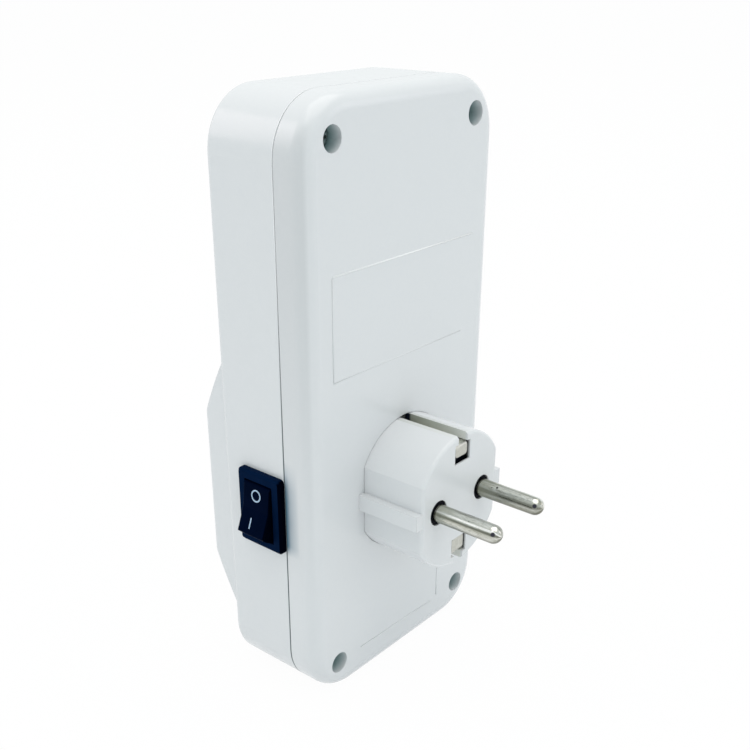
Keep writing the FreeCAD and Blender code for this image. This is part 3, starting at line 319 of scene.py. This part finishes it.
def shade_and_light_along_seam(paint, base):
    """The gap between the case's halves: painted shade, grey, low down, and painted light near the
    top.
    """
    low_down, high_up = (0.22, 0.26, 0.27), (0.96, 0.965, 0.97)
    off = paint.math("ABSOLUTE", paint.math("SUBTRACT", paint.axis("Y"), SEAM * MM))
    gap_shade_and_light = paint.mix(paint.rise(paint.axis("Z"), 75, 120), low_down, high_up)
    return paint.mix(paint.fall(off, 0.12, 0.2), base, gap_shade_and_light)


# How strong the shade beside the switch is, back from the flange along Y and up along Z: pairs of
# millimetres and share
SHADE_BACK = (
    (6.05, 0.98), (6.9, 0.70), (7.6, 0.44), (8.3, 0.35), (9.0, 0.26), (9.7, 0.18), (10.8, 0.0),
)
SHADE_UP = ((44.0, 0.0), (47.0, 1.0), (60.0, 1.0), (63.5, 0.85), (67.0, 0.42), (71.0, 0.0))


def beside_switch(paint, base):
    """The soft shade behind the switch's flange, on the cover's side."""
    share = paint.product(
        paint.math("GREATER_THAN", paint.axis("X"), SIDE_INSIDE * MM),
        paint.math("GREATER_THAN", paint.axis("Y"), SEAM * MM),
        paint.bands(paint.axis("Y"), SHADE_BACK, MM),
        paint.bands(paint.axis("Z"), SHADE_UP, MM),
    )
    return paint.mix(share, base, (0.0, 0.13, 0.23))


def case_plastic(name, edge, painted_highlight=0.0):
    """Glossy moulded ABS with a fine grain, a few specks of dust and uneven gloss, plus painted
    shade and painted light in its holes, slots and seam, along the cover's edge and beside the
    switch, and, when given a share, a painted highlight mixed toward white.
    """
    paint = Paint(name, roughness=0.2, Specular_IOR_Level=0.5)
    grain = paint.noise(900, 2)
    base = paint.mix(paint.span(grain, 0.35, 0.75), (0.765, 0.775, 0.785), (0.757, 0.768, 0.780))
    specks = paint.span(paint.cells(190), 0.0, 0.035, 1.0, 0.0)
    few = paint.span(paint.noise(60, 1), 0.62, 0.66)
    base = paint.mix(paint.product(specks, few), base, (0.34, 0.35, 0.36))
    # Painted shade and painted light, each masked to its own place on the case
    for shade in (shade_in_screw_holes, shade_in_slots, on_cover_edge, light_at_plug_foot, shade_and_light_along_seam, beside_switch):
        base = shade(paint, base)
    paint.colour(paint.mix(painted_highlight, base, WHITE))
    paint.rough(paint.span(paint.noise(45, 5, (1, 1, 0.5)), 0.25, 0.75, 0.14, 0.24))
    paint.normal([(grain, 0.000003)], edge=edge)
    return paint.material


def switch_plastic(name, dark, light):
    """Semi-gloss blue-black nylon with a fine eroded grain, and painted shade where it faces the
    rear.
    """
    paint = Paint(name, roughness=0.42, Specular_IOR_Level=0.006,
                  Specular_Tint=(0.10, 0.45, 1.0, 1.0))
    base = paint.mix(paint.spread(paint.noise(240, 4)), dark, light)
    rear_shade = paint.span(paint.facing((0.0, 1.0, 0.0)), 0.25, 0.6)
    paint.colour(paint.mix(rear_shade, base, (0.0002, 0.0008, 0.004)))
    paint.rough(paint.spread(paint.noise(700, 4), 0.32, 0.46))
    paint.normal([(paint.noise(5200, 3), 0.000012), (paint.noise(300, 2), 0.00002)], edge=0.0002)
    return paint.material


# Painted reflections on the pins: shares of bright nickel round them as they face about Y, from +X
# toward +Z, in degrees:
# the live pin is the near one and the neutral pin is the far one
NEAR_PIN_REFLECTIONS = (
    (-60, 0.16), (-36, 0.18), (-24, 0.44), (-14, 0.66), (-2, 0.74), (6, 0.66), (11, 0.46),
    (16, 0.14), (25, 0.13), (31, 0.55), (36, 1.0), (44, 1.0), (49, 0.74), (56, 0.69), (80, 0.71),
    (86, 0.48), (97, 0.31), (106, 0.54), (114, 0.62), (122, 0.50),
)
FAR_PIN_REFLECTIONS = (
    (-60, 0.04), (-38, 0.06), (-30, 0.20), (-16, 0.42), (-6, 0.50), (2, 0.42), (8, 0.16),
    (25, 0.20), (33, 0.45), (48, 0.62), (56, 0.80), (66, 0.64), (75, 0.68), (81, 0.42),
    (88, 0.34), (96, 0.77), (104, 1.0), (114, 1.0), (122, 0.80),
)
# The pins' deeper pits: x, y, z and radius, in millimetres
PITS = (
    (-8.3, 40.0, 57.4, 0.26),
    (-7.9, 38.6, 57.1, 0.13),
    (11.0, 44.5, 57.2, 0.12),
    (12.0, 48.0, 55.2, 0.10),
)


def in_pits(paint, base):
    """Dark dots in the deeper pits, and scattered finer ones."""
    for *place, radius in PITS:
        away = paint.vector("DISTANCE", paint.place, Vector(place) * MM)
        base = paint.mix(paint.fall(away, radius, radius * 1.4, 0.9), base, NEARLY_BLACK)
    specks = paint.span(paint.cells(620), 0.0, 0.085, 1.0, 0.0)
    few = paint.span(paint.noise(150, 1), 0.55, 0.6)
    return paint.mix(paint.product(specks, few), base, (0.03, 0.03, 0.035))


def nickel(name):
    """Bright nickel plate with drawn streaks along the pins, stains, pits and fine scratches, and
    painted reflections, a painted highlight and painted shade.
    """
    paint = Paint(name, roughness=0.24, metallic=1.0)
    streaks = paint.noise(1500, 4, (1, 0.035, 1))
    fine = paint.noise(5200, 3, (1, 0.02, 1))
    bright_reflection = paint.mix(paint.span(streaks, 0.38, 0.62), (0.76, 0.775, 0.70), (0.96, 0.975, 0.925))
    dark_reflection = paint.mix(paint.span(fine, 0.35, 0.65), (0.070, 0.074, 0.050), (0.125, 0.130, 0.096))

    # Painted reflections: bands of bright and dark nickel round each pin, broken up by speckle, and
    # a painted highlight where they are brightest
    near = paint.rise(paint.axis("X"), -1, 1)
    turn = paint.turn(paint.spread(streaks, -4.0, 4.0))
    reflection_share = paint.mix(near, paint.bands(turn, FAR_PIN_REFLECTIONS), paint.bands(turn, NEAR_PIN_REFLECTIONS))
    speckle = paint.span(paint.noise(2600, 4, (1, 0.3, 1)), 0.34, 0.5, 0.72, 1.0)
    base = paint.mix(paint.product(reflection_share, speckle), dark_reflection, bright_reflection)
    base = paint.mix(paint.span(reflection_share, 0.84, 0.98), base, (1.0, 1.0, 0.98))

    # Stains, made stronger on the far pin as painted shade, a darker foot, and a painted
    # reflection: a dark spot on each dome
    stains = paint.noise(330, 5, (1, 0.45, 1), 0.8)
    far_stains_and_shade = paint.span(stains, 0.45, 0.62, 0.0, 0.45)
    near_stains = paint.span(stains, 0.52, 0.7, 0.0, 0.25)
    base = paint.mix(paint.mix(near, far_stains_and_shade, near_stains), base, (0.22, 0.222, 0.145))
    foot = paint.fall(paint.axis("Y"), PLUG_FACE + 0.5, PLUG_FACE + 8, 0.5)
    base = paint.mix(foot, base, (0.28, 0.285, 0.215))
    reflected_spot = paint.span(paint.facing((0.80, 0.42, 0.43)), 0.964, 0.982)
    base = paint.mix(reflected_spot, base, (0.05, 0.05, 0.065))

    paint.colour(in_pits(paint, base))
    paint.rough(paint.spread(fine, 0.12, 0.265))
    scratches = paint.noise(420, 4, (0.25, 7, 0.25))
    dents = paint.noise(500, 3)
    paint.normal([(streaks, 0.00003), (scratches, 0.000008), (dents, 0.00002)], edge=0.00012)
    return paint.material


def strip_nickel(name):
    """Duller nickel on the sprung earth strips, with faint rolling streaks."""
    paint = Paint(name, roughness=0.36, metallic=1.0)
    streaks = paint.noise(1500, 4, (1, 0.05, 1))
    paint.colour(paint.mix(paint.spread(streaks), (0.50, 0.51, 0.46), (0.60, 0.61, 0.56)))
    paint.rough(paint.spread(paint.noise(900, 3), 0.32, 0.42))
    paint.normal([(streaks, 0.000006)], edge=0.00015)
    return paint.material


def plated_steel(name, dark, light):
    """Plated screw steel: mottled, with fine turning marks."""
    paint = Paint(name, roughness=0.34, metallic=1.0)
    paint.colour(paint.mix(paint.spread(paint.noise(900, 4)), dark, light))
    paint.rough(paint.spread(paint.noise(1800, 4), 0.25, 0.5))
    paint.normal([(paint.noise(3000, 3), 0.00001)], edge=0.0001)
    return paint.material


def brass(name):
    """Stamped brass with rolling streaks and a little tarnish."""
    paint = Paint(name, roughness=0.3, metallic=1.0)
    streaks = paint.noise(1400, 4, (1, 0.08, 1))
    tarnish = paint.span(paint.noise(260, 4), 0.55, 0.75, 0.0, 0.6)
    base = paint.mix(paint.spread(streaks), (0.60, 0.43, 0.18), (0.76, 0.58, 0.28))
    paint.colour(paint.mix(tarnish, base, (0.36, 0.24, 0.11)))
    paint.rough(paint.spread(streaks, 0.22, 0.42))
    paint.normal([(streaks, 0.00001)], edge=0.0001)
    return paint.material


def board_laminate(name):
    """Green lacquered laminate with lighter tracks under the lacquer and a faint glass weave."""
    paint = Paint(name, roughness=0.3)
    tracks = paint.span(paint.cells(170, (1, 0.01, 1), 0.35), 0.36, 0.42)
    base = paint.mix(tracks, (0.012, 0.085, 0.035), (0.022, 0.15, 0.055))
    clouds = paint.spread(paint.noise(700, 4), 0.0, 0.35)
    paint.colour(paint.mix(clouds, base, (0.01, 0.06, 0.03)))
    paint.normal([(tracks, 0.00003), (paint.noise(2600, 2), 0.000008)], edge=0.0001)
    return paint.material


def moulded(name, dark, light, roughness, scale, depth=0.00001, **sockets):
    """A plain moulded or coated finish: two close tones, uneven gloss and a fine grain."""
    paint = Paint(name, roughness=roughness, **sockets)
    paint.colour(paint.mix(paint.spread(paint.noise(scale, 4)), dark, light))
    paint.rough(paint.spread(paint.noise(scale * 2, 3), roughness * 0.8, roughness * 1.2))
    paint.normal([(paint.noise(scale * 5, 3), depth)], edge=0.00015)
    return paint.material


# Moulded and coated finishes: two tones, roughness, and how many clouds of tone lie along a metre
MOULDED = {
    "insulator": ((0.0020, 0.0025, 0.0060), (0.0040, 0.0050, 0.0100), 0.5, 400),
    "switch_white": ((0.62, 0.62, 0.58), (0.72, 0.72, 0.68), 0.45, 500),
    "relay": ((0.012, 0.012, 0.014), (0.026, 0.026, 0.028), 0.5, 350),
    "film": ((0.62, 0.42, 0.05), (0.74, 0.53, 0.09), 0.35, 300),
    "can": ((0.02, 0.02, 0.05), (0.04, 0.04, 0.08), 0.3, 300),
    "varistor": ((0.02, 0.10, 0.34), (0.04, 0.16, 0.46), 0.3, 260),
    "chip": ((0.012, 0.012, 0.013), (0.024, 0.024, 0.025), 0.6, 900),
    "led_green": ((0.03, 0.42, 0.08), (0.06, 0.55, 0.12), 0.15, 200),
    "led_yellow": ((0.74, 0.48, 0.03), (0.85, 0.60, 0.07), 0.15, 200),
    "led_red": ((0.55, 0.015, 0.012), (0.70, 0.04, 0.03), 0.15, 200),
    "wire_brown": ((0.10, 0.04, 0.018), (0.15, 0.065, 0.03), 0.4, 400),
    "wire_blue": ((0.015, 0.07, 0.33), (0.03, 0.11, 0.42), 0.4, 400),
}
# Settings that only some of them have: grain depth in metres, and sockets of the shader
CLEAR = {"Transmission_Weight": 0.5}
MOULDED_EXTRAS = {
    "insulator": {"depth": 0.00002, "Specular_IOR_Level": 0.03},
    "varistor": {"depth": 0.00004},
    "led_green": CLEAR,
    "led_yellow": CLEAR,
    "led_red": CLEAR,
}

# One material for each material slot of the record
MATERIALS = {
    "case": case_plastic("case", 0.00022),
    "switch_black": switch_plastic(
        "switch_black", (0.0004, 0.0026, 0.012), (0.0008, 0.0036, 0.017)),
    "nickel": nickel("nickel"),
    "steel": plated_steel("steel", (0.30, 0.31, 0.31), (0.52, 0.53, 0.52)),
    "brass": brass("brass"),
    "board": board_laminate("board"),
}
for slot, finish in MOULDED.items():
    MATERIALS[slot] = moulded(slot, *finish, **MOULDED_EXTRAS.get(slot, {}))

# Finishes of their own, by a part of the node's name
OWN_FINISHES = {
    "strip": strip_nickel("nickel_strip"),
    # The flange's copy of the black nylon is lighter: a painted reflection
    "switch_frame": switch_plastic(
        "switch_black_flange_painted_reflection", (0.0014, 0.0085, 0.032), (0.0020, 0.0110, 0.041)),
    # A darker, green-grey copy of the steel for the case screws: painted shade from their deep
    # holes
    "case_screw": plated_steel("steel_case_screws_shaded", (0.15, 0.20, 0.20), (0.27, 0.33, 0.33)),
}


def dress_nodes():
    """Gives each CAD node the material of its slot in the record, or a finish of its own."""
    slots = {part["node"]: part["material_slot"] for part in frame["record"]["subparts"]}
    for name, node in frame["nodes"].items():
        material = MATERIALS[slots[name]]
        for part, own in OWN_FINISHES.items():
            if part in name:
                material = own
        node.data.materials.clear()
        node.data.materials.append(material)


# ---- Small raised details ----

# A ridge's section: faces over its rounded top, the share of its height that is below the surface,
# and how much wider than its runs a corner may get
ROUND_STEPS = 6
SUNK_SHARE = 0.3
WIDEST_MITRE = 2.0


def finish_piece(name, maker, material, body):
    """Turns a bmesh into a piece that rides on a body."""
    mesh = bpy.data.meshes.new(name)
    maker.normal_update()
    maker.to_mesh(mesh)
    maker.free()
    for face in mesh.polygons:
        face.use_smooth = True
    piece = bpy.data.objects.new(name, mesh)
    scene.collection.objects.link(piece)
    mesh.materials.append(material)
    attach(piece, body)


def mitre(before, point, after):
    """How much wider a ridge is at a corner, so that its runs keep their width."""
    first, second = point - before, after - point
    if not (first.length and second.length):
        return 1.0
    cosine = max(-1.0, min(1.0, first.normalized().dot(second.normalized())))
    return 1 / max(1 / WIDEST_MITRE, math.sqrt((1 + cosine) / 2))


def ridge(name, path, width, height, closed, body, material, lay):
    """A low ridge with a rounded top along a path of flat points.

    Its foot is sunk into the surface. The call lay(across, up, rise) puts a flat point in place.
    """
    points = [Vector(point) for point in path]
    last = len(points) - 1
    maker = bmesh.new()
    rows = []
    for index, point in enumerate(points):
        before = points[index - 1] if closed or index else point
        after = points[(index + 1) % len(points)] if closed or index < last else point
        along = after - before
        side = Vector((-along.y, along.x)).normalized() * (width / 2 * mitre(before, point, after))
        row = []
        for step in range(ROUND_STEPS + 1):
            angle = math.pi * step / ROUND_STEPS
            place = point + side * math.cos(angle)
            rise = height * (math.sin(angle) * (1 + SUNK_SHARE) - SUNK_SHARE)
            row.append(maker.verts.new(lay(place.x, place.y, rise)))
        rows.append(row)
    following = rows[1:] + rows[:1] if closed else rows[1:]
    for one, two in zip(rows, following):
        for step in range(ROUND_STEPS):
            maker.faces.new((one[step], one[step + 1], two[step + 1], two[step]))
        maker.faces.new((one[-1], one[0], two[0], two[-1]))
    if not closed:
        maker.faces.new(rows[0])
        maker.faces.new(list(reversed(rows[-1])))
    bmesh.ops.recalc_face_normals(maker, faces=maker.faces)
    finish_piece(name, maker, material, body)


def on_rear(x, z, rise):
    """A place on the rear face, in metres."""
    return Vector((x, REAR_FACE + rise, z)) * MM


def make_rear_lines():
    """Fine raised lines along two sides of each bare label place on the rear cover, the top one
    with a painted highlight.
    """
    plain = case_plastic("case_lines", 0)
    # The top line's plastic, mixed most of the way to white: a painted highlight
    lit = case_plastic("case_lines_painted_highlight", 0, 0.75)
    # Name, path, width and height in millimetres, and material
    lines = (
        ("label_top", [(-27.7, 116.8), (27.5, 116.8)], 0.42, 0.15, lit),
        ("label_side", [(27.5, 116.4), (27.5, 91.2)], 0.36, 0.2, plain),
        ("label_base", [(27.5, 91.0), (-24.0, 91.0)], 0.34, 0.09, plain),
        ("lower_line_side", [(-17.0, 18.9), (-17.0, 9.6)], 0.42, 0.2, plain),
        ("lower_line_base", [(-14.0, 8.7), (17.9, 9.7)], 0.36, 0.15, plain),
    )
    for name, path, width, height, material in lines:
        ridge(name, path, width, height, False, "case", material, on_rear)


# The marks on the rocker, in millimetres from the switch's middle: a ring above and a bar below,
# and where the rays start that find the rocker's surface
MARK_WIDTH = 0.46
MARK_HEIGHT = 0.03
RING_RADIUS = 1.45
RING_UP = 4.7
RING_STEPS = 48
BAR_ASIDE = -0.75
BAR_STOPS = (-1.25, -2.6, -4.0)
RAY_START = 60


def make_switch_marks():
    """The ring and the bar printed on the rocker's two facets, laid on its own surface."""
    rocker = frame["nodes"]["switch_rocker"]
    surface = BVHTree.FromObject(rocker, bpy.context.evaluated_depsgraph_get())
    pale_blue = moulded("mark_paint", (0.44, 0.62, 0.82), (0.54, 0.70, 0.88), 0.5, 1500)

    def on_rocker(y, z, rise):
        """The place on the rocker's surface at (y, z), raised along its normal."""
        start = Vector((RAY_START, y, z)) * MM
        place, normal, _, _ = surface.ray_cast(start, Vector((-1, 0, 0)))
        return place + normal * rise * MM

    ring = []
    for step in range(RING_STEPS):
        angle = math.tau * step / RING_STEPS
        ring.append((SWITCH_Y + RING_RADIUS * math.cos(angle),
                     SWITCH_Z + RING_UP + RING_RADIUS * math.sin(angle)))
    bar = [(SWITCH_Y + BAR_ASIDE, SWITCH_Z + up) for up in BAR_STOPS]
    for name, path, closed in (("mark_ring", ring, True), ("mark_bar", bar, False)):
        ridge(name, path, MARK_WIDTH, MARK_HEIGHT, closed,
              "rocker", pale_blue, on_rocker)


# ---- Studio ----

# Metres, and colours as the shader takes them
FLOOR_REACH = 40.0
FLOOR_CELLS = 8
FLOOR_COLOUR = (0.86, 0.87, 0.88, 1)
FLOOR_ROUGHNESS = 0.8
FLOOR_SEEN_WHITE = 0.97
WORLD_COLOUR = (0.89, 0.985, 1.0, 1)
WORLD_STRENGTH = 0.733
WORLD_MIRRORED = 0.5
LAMP_AIM = (0, 0, 0.075)
# Name, place and size in metres, power in watts, and tint
LAMPS = (
    ("front", (0.46, -0.79, 0.60), 0.5, 1.2, (1.0, 0.85, 0.86)),
    ("right", (-1.20, 1.25, 0.55), 0.7, 1.55, (1.0, 0.90, 0.97)),
    ("overhead", (-0.10, 0.10, 1.60), 1.7, 14.0, (1.0, 0.93, 0.90)),
)


def white_where_seen(tree, lit, white_kind, seen, mirrored):
    """Mixes a surface with plain white, by a share where it is seen and a lesser one in mirrors."""
    path = add_node(tree, "ShaderNodeLightPath").outputs
    mirror = add_math(tree, "MULTIPLY", path["Is Glossy Ray"], mirrored)
    share = add_math(tree, "MAXIMUM", path["Is Camera Ray"], mirror)
    share = add_math(tree, "MAXIMUM", share, path["Is Transmission Ray"])
    share = add_math(tree, "MULTIPLY", share, seen)
    white = add_node(tree, white_kind, Color=(*WHITE, 1), Strength=1.0)
    return add_node(tree, "ShaderNodeMixShader", share, lit.outputs[0], white.outputs[0]).outputs[0]


def make_floor():
    """A wide pale floor that looks white, apart from a hint of the object's shadow."""
    maker = bmesh.new()
    bmesh.ops.create_grid(maker, x_segments=FLOOR_CELLS, y_segments=FLOOR_CELLS, size=FLOOR_REACH)
    mesh = bpy.data.meshes.new("floor")
    maker.to_mesh(mesh)
    maker.free()
    floor = bpy.data.objects.new("floor", mesh)
    scene.collection.objects.link(floor)
    material = bpy.data.materials.new("floor")
    material.use_nodes = True
    tree = material.node_tree
    shader = tree.nodes["Principled BSDF"]
    shader.inputs["Base Color"].default_value = FLOOR_COLOUR
    shader.inputs["Roughness"].default_value = FLOOR_ROUGHNESS
    surface = white_where_seen(tree, shader, "ShaderNodeEmission", FLOOR_SEEN_WHITE, 1.0)
    tree.links.new(surface, tree.nodes["Material Output"].inputs["Surface"])
    mesh.materials.append(material)


def make_surround():
    """A soft even surround that lights the object and looks white."""
    world = bpy.data.worlds.new("studio")
    scene.world = world
    world.use_nodes = True
    tree = world.node_tree
    surround = tree.nodes["Background"]
    surround.inputs["Color"].default_value = WORLD_COLOUR
    surround.inputs["Strength"].default_value = WORLD_STRENGTH
    surface = white_where_seen(tree, surround, "ShaderNodeBackground", 1.0, WORLD_MIRRORED)
    tree.links.new(surface, tree.nodes["World Output"].inputs["Surface"])


def make_lamps():
    """Three soft square lamps aimed at the object's middle."""
    for name, place, side, power, tint in LAMPS:
        data = bpy.data.lights.new(name, "AREA")
        data.shape = "SQUARE"
        data.size = side
        data.energy = power
        data.color = tint
        lamp = bpy.data.objects.new(name, data)
        scene.collection.objects.link(lamp)
        aim = Vector(LAMP_AIM) - Vector(place)
        turn = aim.to_track_quat("-Z", "Y").to_matrix().to_4x4()
        lamp.matrix_world = Matrix.Translation(place) @ turn


make_camera()
dress_nodes()
make_rear_lines()
make_switch_marks()
make_floor()
make_surround()
make_lamps()
scene.view_settings.view_transform = "Standard"

bpy.context.view_layer.update()
